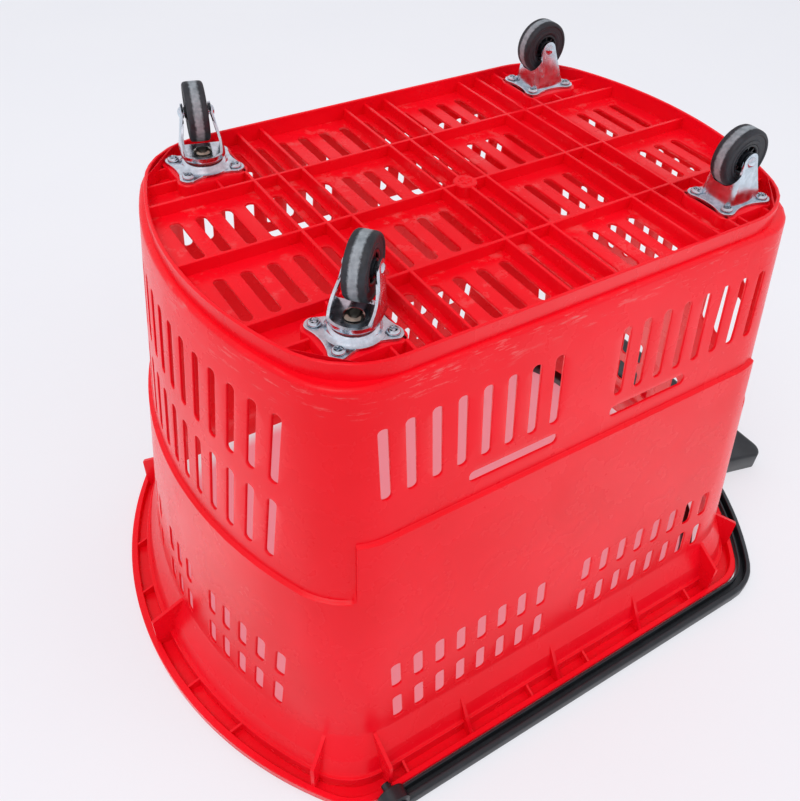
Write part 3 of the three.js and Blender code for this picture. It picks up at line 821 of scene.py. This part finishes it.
def hinge_pins():
    """Headed pins: one pair through the pull handle's eyes, one through the carry handle's."""
    pull_out = LIP[1] + PULL_GAP + PULL_WIDTH + PIN_GAP
    bail_in = BAIL_Y - BAIL_HALF - PIN_GAP
    for name, side in (("left", -1), ("right", 1)):
        build = Build()
        lathe(build, [(0, LIP[1] - 6), (PIN_R, LIP[1] - 6), (PIN_R, pull_out),
                      (PIN_HEAD_R, pull_out), (PIN_HEAD_R, pull_out + 1.2),
                      (7.3, pull_out + 2.4), (5, pull_out + 3), (2, pull_out + 2.6), (0, pull_out + 2.5)])
        flip = Matrix.Scale(side, 4, (0, 1, 0))
        make(f"pull_handle_hinge_pin_{name}", build, f"pull_handle_pin_{name}",
             flip @ Matrix.Translation(PULL_PIVOT + Vector((BASKET_X, 0, 0))) @ ACROSS_Y)
        build = Build()
        lathe(build, [(0, 204), (PIN_R, 204), (PIN_R, bail_in), (PIN_HEAD_R, bail_in),
                      (PIN_HEAD_R, bail_in - 1),
                      (7, bail_in - 2), (5, bail_in - 2.5), (0, bail_in - 2.5)])
        make(f"carry_handle_hinge_pin_{name}", build, f"carry_handle_pin_{name}",
             flip @ Matrix.Translation(BAIL_PIVOT + Vector((BASKET_X, 0, 0))) @ ACROSS_Y)


pull_handle()
carry_handle()
hinge_pins()

# ---------- casters ----------

AXLE_Z = 21.0
TRAIL = 18.0
RIGID_X = -3.0
PLATE_LOW, PLATE_HIGH = 52.5, 54.5
SWIVEL = {"front_right": -42, "front_left": -74.5}
TYRE_R = 21.0
ARM_Y = 9.9         # middle of a fork or bracket arm's sheet at the axle
TAB_R = 6.4
SHEET = 1.8


def tyre():
    build = Build()
    half = [(11.3, 6.4), (12.6, 7), (14, 6.9), (14.4, 6.5), (17.6, 6.7), (18.2, 7.3), (19.2, 7.4),
            (20.1, 6.9), (20.7, 6), (TYRE_R - 0.06, 4.6), (TYRE_R, 2.4)]
    profile = [(r, -h) for r, h in half] + [(TYRE_R, 0)] + [(r, h) for r, h in reversed(half)]
    lathe(build, profile + profile[:1], 72)
    return build


def hub():
    """Spoked plastic wheel centre."""
    build = Build()
    profile = [(11, -6.5), (11, 6.5), (9.6, 6.6), (9, 6), (9, 2), (6.2, 2), (6, 7.2), (5.4, 7.6), (4.3, 7.6),
               (4.3, -7.6), (5.4, -7.6), (6, -7.2), (6.2, -2), (9, -2), (9, -6), (9.6, -6.6), (11, -6.5)]
    lathe(build, profile)
    for k in range(8):
        a = math.radians(45 * k)
        along, side = Vector((math.cos(a), math.sin(a), 0)), Vector((-math.sin(a), math.cos(a), 0)) * 0.6
        ring = [(5.6, -5.4), (9.4, -5.4), (9.4, 5.4), (5.6, 5.4)]
        build.loops([[along * r + side * j + Vector((0, 0, h)) for r, h in ring] for j in (-1, 1)])
    return build


def bush():
    build = Build()
    lathe(build, [(2.8, -8.7), (3.7, -8.7), (4, -8.4), (4, 8.4), (3.7, 8.7), (2.8, 8.7), (2.8, -8.7)])
    return build


def axle():
    """Riveted axle with domed heads."""
    build = Build()
    head = [(0, 13.4), (1.6, 13.2), (3, 12.6), (3.8, 11.8), (4, 11.1), (2.5, 11.1)]
    lathe(build, [(r, -h) for r, h in head] + [(r, h) for r, h in reversed(head)])
    return build


def screw():
    """Pan-head screw with a cross recess, head down."""
    build = Build()
    z, arm, half, deep, steps = PLATE_LOW, 2.3, 0.42, 1.3, 40
    cross = []
    for k in range(4):
        a = math.radians(90 * k)
        turn = Matrix.Rotation(a, 2)
        cross += [tuple(turn @ Vector(p)) for p in ((arm, -half), (arm, half), (half, half))]
    around = [math.atan2(y, x) for x, y in cross]
    rim = [(2.75 * math.cos(a), 2.75 * math.sin(a)) for a in around]
    build.grid([[(x, y, z - 2.5) for x, y in rim], [(x, y, z - 2.6) for x, y in cross],
                [(x * 0.8, y * 0.8, z - 2.6 + deep) for x, y in cross]], closed=True)
    build.add([(x * 0.8, y * 0.8, z - 2.6 + deep) for x, y in cross], [tuple(range(12))])
    angles = sorted({round(a % (2 * math.pi), 6) for a in around} |
                    {round(2 * math.pi * i / steps, 6) for i in range(steps)})
    head = [(2.75, 2.5), (3.4, 2.2), (4, 1.6), (4.3, 0.9), (4.3, 0.3), (1.9, 0.3), (1.9, -11.7)]
    build.grid([[(r * math.cos(a), r * math.sin(a), z - h) for a in angles] for r, h in head], closed=True)
    build.add([(1.9 * math.cos(a), 1.9 * math.sin(a), z + 11.7) for a in angles], [tuple(range(len(angles)))])
    return build


def star_outline(lobe, waist_x, waist_y):
    """A four-lobed plate with sides drawn in between its corners."""
    corners = [(1, 1, 45), (-1, 1, 135), (-1, -1, 225), (1, -1, 315)]
    lobes = [arc(i * HOLES.x, j * HOLES.y, lobe, a - 62, a + 62, 9) for i, j, a in corners]
    points = []
    for k, here in enumerate(lobes):
        after = lobes[(k + 1) % 4]
        first, last = Vector(here[-1]), Vector(after[0])
        inward = -(first + last).normalized() * (waist_y if k % 2 == 0 else waist_x)
        points += here
        points += [tuple(first.lerp(last, t) + inward * 4 * t * (1 - t)) for t in np.linspace(0, 1, 9)[1:-1]]
    return points


def plate(build):
    """The screwed-on plate that all four casters share."""
    prism(build, star_outline(6.4, 2.5, 4.2), PLATE_LOW, PLATE_HIGH, 0.35)


def swivel_plate():
    """Mounting plate with the pressed raceway dome."""
    build = Build()
    plate(build)
    lathe(build, [(4.4, 47.4), (12, 47.3), (14.2, 47.6), (15.6, 48.6), (16.3, 50), (16.9, 51.2), (18, 52),
                  (19.4, 52.45), (19.4, 53), (4.4, 53), (4.4, 47.4)], 64)
    return build


def seal_ring():
    build = Build()
    lathe(build, [(5, 45.7), (14.2, 45.6), (14.9, 45.9), (15.1, 46.3), (14.9, 46.7), (14.2, 46.9),
                  (5, 46.9), (5, 45.7)], 64)
    return build


def kingpin():
    """Rivet through the plate; the fork piece has no hole for it, so the two overlap unseen."""
    build = Build()
    lathe(build, [(0, 41.3), (2, 41.2), (2.6, 41), (4.6, 41.3), (6, 42), (6.6, 42.7), (6.6, 43), (4, 43),
                  (4, 54.2), (0, 54.2)], 48)
    return build


def sheet_arms(base, edge, z, crown=None):
    """Folded sheet: a wall from the base line to the edge line, and the flat it stands on when crown is
    given.
    """
    build = Build()
    rows = [[Vector((*b, z)).lerp(e, t) for b, e in zip(base, edge)] for t in np.linspace(0, 1, 9)]
    build.grid(rows)
    if crown:
        build.add([(x, y, z) for x, y in base], [tuple(range(len(base)))])
    return build


def tab_point(x, angle, y):
    """Point of the rounded tab round the axle, from its front (0) to its rear (180)."""
    a = math.radians(angle)
    return Vector((x - TAB_R * math.cos(a), y, AXLE_Z - TAB_R * math.sin(a)))


def fork():
    """Horseshoe fork: a round crown with a low front flange that rises into two arms."""
    z, r, rear = 44.3, 15.4, 14.0
    base, edge = [], []
    for i in range(13):
        x = rear * (1 - i / 12)
        base.append((x, r))
        edge.append(tab_point(TRAIL, 180 * x / rear, ARM_Y))
    for i in range(1, 31):
        a = math.radians(90 + 3 * i)
        point = (r * math.cos(a), r * math.sin(a))
        low = Vector((point[0] * 1.03, point[1] * 1.03, z - 3.4))
        base.append(point)
        edge.append(tab_point(TRAIL, 0, ARM_Y).lerp(low, min(1, i / 13) ** 0.6))
    base += [(x, -y) for x, y in reversed(base[:-1])]
    edge += [Vector((p.x, -p.y, p.z)) for p in reversed(edge[:-1])]
    return sheet_arms(base, edge, z, crown=True)


def bracket():
    """Fixed bracket: two arms leaning in to the axle, and a web between them at the front."""
    z, half, front, rear, corner = PLATE_LOW + 0.2, 14.0, -15.5, 15.0, 5.0
    base, edge = [], []
    for i in range(17):
        share = i / 16
        base.append((rear + (front + corner - rear) * share, half))
        edge.append(tab_point(RIGID_X, 180 * (1 - share), ARM_Y))
    turn = [(x, y) for x, y in arc(front + corner, half - corner, corner, 90, 180, 8)[1:]]
    turn += [(front, v) for v in np.linspace(half - corner, 0, 7)[1:]]
    for i, point in enumerate(turn):
        share = (i + 1) / len(turn)
        top = Vector((point[0] + 1.2, point[1] * 0.97, z - 13.5))
        base.append(point)
        edge.append(tab_point(RIGID_X, 0, ARM_Y).lerp(top, min(1, share * 1.35) ** 0.6))
    base += [(x, -y) for x, y in reversed(base[:-1])]
    edge += [Vector((p.x, -p.y, p.z)) for p in reversed(edge[:-1])]
    return sheet_arms(base, edge, z)


def thicken(piece, thickness):
    modifier = piece.modifiers.new("sheet_thickness", "SOLIDIFY")
    modifier.thickness = thickness * MM
    modifier.offset = 0
    return bevel(piece, 0.35, 2, 50)


def wheel(name, place):
    at_axle = place @ Matrix.Translation((0, 0, AXLE_Z)) @ ACROSS_Y
    piece = make(f"{name}_wheel_tyre", tyre(), f"{name}_tyre", at_axle)
    across = piece.data.attributes.new("across", "FLOAT", "POINT")
    back = (Matrix.Scale(MM, 4) @ at_axle).inverted()
    for vertex, value in zip(piece.data.vertices, across.data):
        value.value = (back @ vertex.co).z
    make(f"{name}_wheel_hub", hub(), f"{name}_hub", at_axle)
    make(f"{name}_wheel_spacer", bush(), f"{name}_bush", at_axle)
    make(f"{name}_wheel_axle", axle(), f"{name}_axle", at_axle)


def casters():
    for end, i in (("front", -1), ("rear", 1)):
        for side, j in (("left", -1), ("right", 1)):
            name = f"{end}_{side}"
            middle = Matrix.Translation((BASKET_X + i * CASTER.x, j * CASTER.y, 0))
            corners = [(-1, -1), (-1, 1), (1, -1), (1, 1)]
            for k, (a, b) in enumerate(corners):
                turn = Matrix.Rotation(math.radians(37 * (k + 2 * i + 5 * j)), 4, "Z")
                place = middle @ Matrix.Translation((a * HOLES.x, b * HOLES.y, 0)) @ turn
                make(f"{name}_plate_screw_{k + 1}", screw(), f"{name}_screw_{k + 1}", place)
            if end == "rear":
                build = bracket()
                piece = make(f"{name}_caster_bracket", build, f"{name}_bracket", middle)
                thicken(piece, SHEET)
                base = Build()
                plate(base)
                top = make(f"{name}_caster_plate", base, f"{name}_bracket", middle)
                bevel(top, 0.3)
                wheel(name, middle @ Matrix.Translation((RIGID_X, 0, 0)))
                continue
            turned = middle @ Matrix.Rotation(math.radians(SWIVEL[name]), 4, "Z")
            make(f"{name}_caster_plate", swivel_plate(), f"{name}_plate", middle)
            make(f"{name}_king_pin", kingpin(), f"{name}_kingpin", middle)
            make(f"{name}_dust_seal", seal_ring(), f"{name}_seal", middle)
            thicken(make(f"{name}_caster_fork", fork(), f"{name}_fork", turned), SHEET)
            wheel(name, turned @ Matrix.Translation((TRAIL, 0, 0)))


casters()

# ---------- stage, light and camera ----------


def painted_light_mask(nodes, links):
    """1 on the patch of floor inside the basket's outline, where the painted shade goes, 0 outside it."""
    place = nodes.new("ShaderNodeSeparateXYZ")
    links.new(nodes.new("ShaderNodeTexCoord").outputs["Object"], place.inputs["Vector"])
    total = None
    for axis, middle, half in (("X", BASKET_X * MM, 0.285), ("Y", 0.0, 0.205)):
        offset = math_node(nodes, links, "ADD", place.outputs[axis], -middle)
        distance = math_node(nodes, links, "ABSOLUTE", offset, 0.0)
        share = math_node(nodes, links, "MULTIPLY", distance, 1 / half)
        term = math_node(nodes, links, "POWER", share, 3.2)
        total = term if total is None else math_node(nodes, links, "ADD", total, term)
    return ramp(nodes, links, total, 0.8, 1.0, 1.0, 0.0)


def one_sided(name, painted_light_under_basket):
    """Bright paper seen from its front only, so that each floor hides nothing from the other side.

    The paper gives off light of its own. The second argument is what the patch inside the basket gives off:
    painted shade under the basket, tinted pink with painted red bounce light on the turned-over floor."""
    material, nodes, links, shader = new_material(name)
    grain = ramp(nodes, links, noise(nodes, links, 3), 0.3, 0.7)
    links.new(mix_colour(nodes, links, grain, (0.32, 0.32, 0.33), (0.31, 0.31, 0.325)),
              shader.inputs["Base Color"])
    shader.inputs["Roughness"].default_value = 0.9
    shader.inputs["Specular IOR Level"].default_value = 0.0
    # Inside the basket's outline the paper's even glow gives way to painted shade.
    links.new(mix_colour(nodes, links, painted_light_mask(nodes, links), (0.53, 0.535, 0.56), painted_light_under_basket),
              shader.inputs["Emission Color"])
    shader.inputs["Emission Strength"].default_value = 1.0
    clear = nodes.new("ShaderNodeBsdfTransparent")
    side = nodes.new("ShaderNodeNewGeometry")
    choose = nodes.new("ShaderNodeMixShader")
    links.new(side.outputs["Backfacing"], choose.inputs["Fac"])
    links.new(shader.outputs["BSDF"], choose.inputs[1])
    links.new(clear.outputs["BSDF"], choose.inputs[2])
    links.new(choose.outputs["Shader"], nodes["Material Output"].inputs["Surface"])
    return material


# The photo's slots look pink. This patch is made to glow pink for that: painted shade under the basket,
# tinted with painted red light bounced from the plastic. It is a stage choice, and not light worked out from
# the plastic.
PAINTED_PINK_SHADE_AND_BOUNCE = (0.62, 0.19, 0.23)


def sheet_floor(name, z, facing, painted_light_under_basket):
    size = 4.0
    corners = [(-size, -size, z), (size, -size, z), (size, size, z), (-size, size, z)]
    mesh = bpy.data.meshes.new(name)
    mesh.from_pydata(corners, [], [(0, 1, 2, 3) if facing > 0 else (3, 2, 1, 0)])
    mesh.materials.append(one_sided(name, painted_light_under_basket))
    floor = bpy.data.objects.new(name, mesh)
    bpy.context.scene.collection.objects.link(floor)
    floor.visible_shadow = False


# The upright floor's patch under the basket glows a little darker grey: a painted shadow.
sheet_floor("floor_upright", -0.0005, 1, (0.5, 0.48, 0.5))
# The turned-over floor's patch under the rim glows pink: painted shade with painted red bounce light.
sheet_floor("floor_turned_over", RIM_Z * MM + 0.0005, -1, PAINTED_PINK_SHADE_AND_BOUNCE)

world = bpy.data.worlds.new("studio")
world.use_nodes = True
world.node_tree.nodes["Background"].inputs["Color"].default_value = (0.93, 0.94, 1.0, 1)
world.node_tree.nodes["Background"].inputs["Strength"].default_value = 0.62
bpy.context.scene.world = world
bpy.context.scene.view_settings.view_transform = "Standard"


def soft_light(name, place, target, size, power):
    light = bpy.data.lights.new(name, "AREA")
    light.shape = "DISK"
    light.size = size
    light.energy = power
    lamp = bpy.data.objects.new(name, light)
    lamp.location = place
    lamp.rotation_mode = "QUATERNION"
    lamp.rotation_quaternion = (Vector(target) - Vector(place)).to_track_quat("-Z", "Y")
    bpy.context.scene.collection.objects.link(lamp)


middle = (0, 0, 0.2)
soft_light("key_below", (-0.9, 0.5, -1.5), middle, 1.0, 15)
soft_light("fill_below", (0.9, 1.2, -0.9), middle, 1.0, 6.5)
soft_light("key_above", (-0.9, -1.0, 1.9), middle, 1.0, 15)
soft_light("fill_above", (1.3, 0.9, 1.5), middle, 1.0, 6.5)

# The trolley is looked at from under the basket, lying on its rim.
LENS = 38.2
CAMERA_AT = Vector((BASKET_X - 350, 447.5, RIB_Z - 314.6)) * MM
LOOK = Vector((0.4045, -0.5994, 0.6907))
ROLL = math.radians(182.9)

camera_data = bpy.data.cameras.new("camera")
camera_data.lens = LENS
camera_data.clip_start = 0.01
camera = bpy.data.objects.new("camera", camera_data)
camera.location = CAMERA_AT
camera.rotation_mode = "QUATERNION"
camera.rotation_quaternion = LOOK.to_track_quat("-Z", "Y") @ Quaternion((0, 0, 1), ROLL)
bpy.context.scene.collection.objects.link(camera)
bpy.context.scene.camera = camera
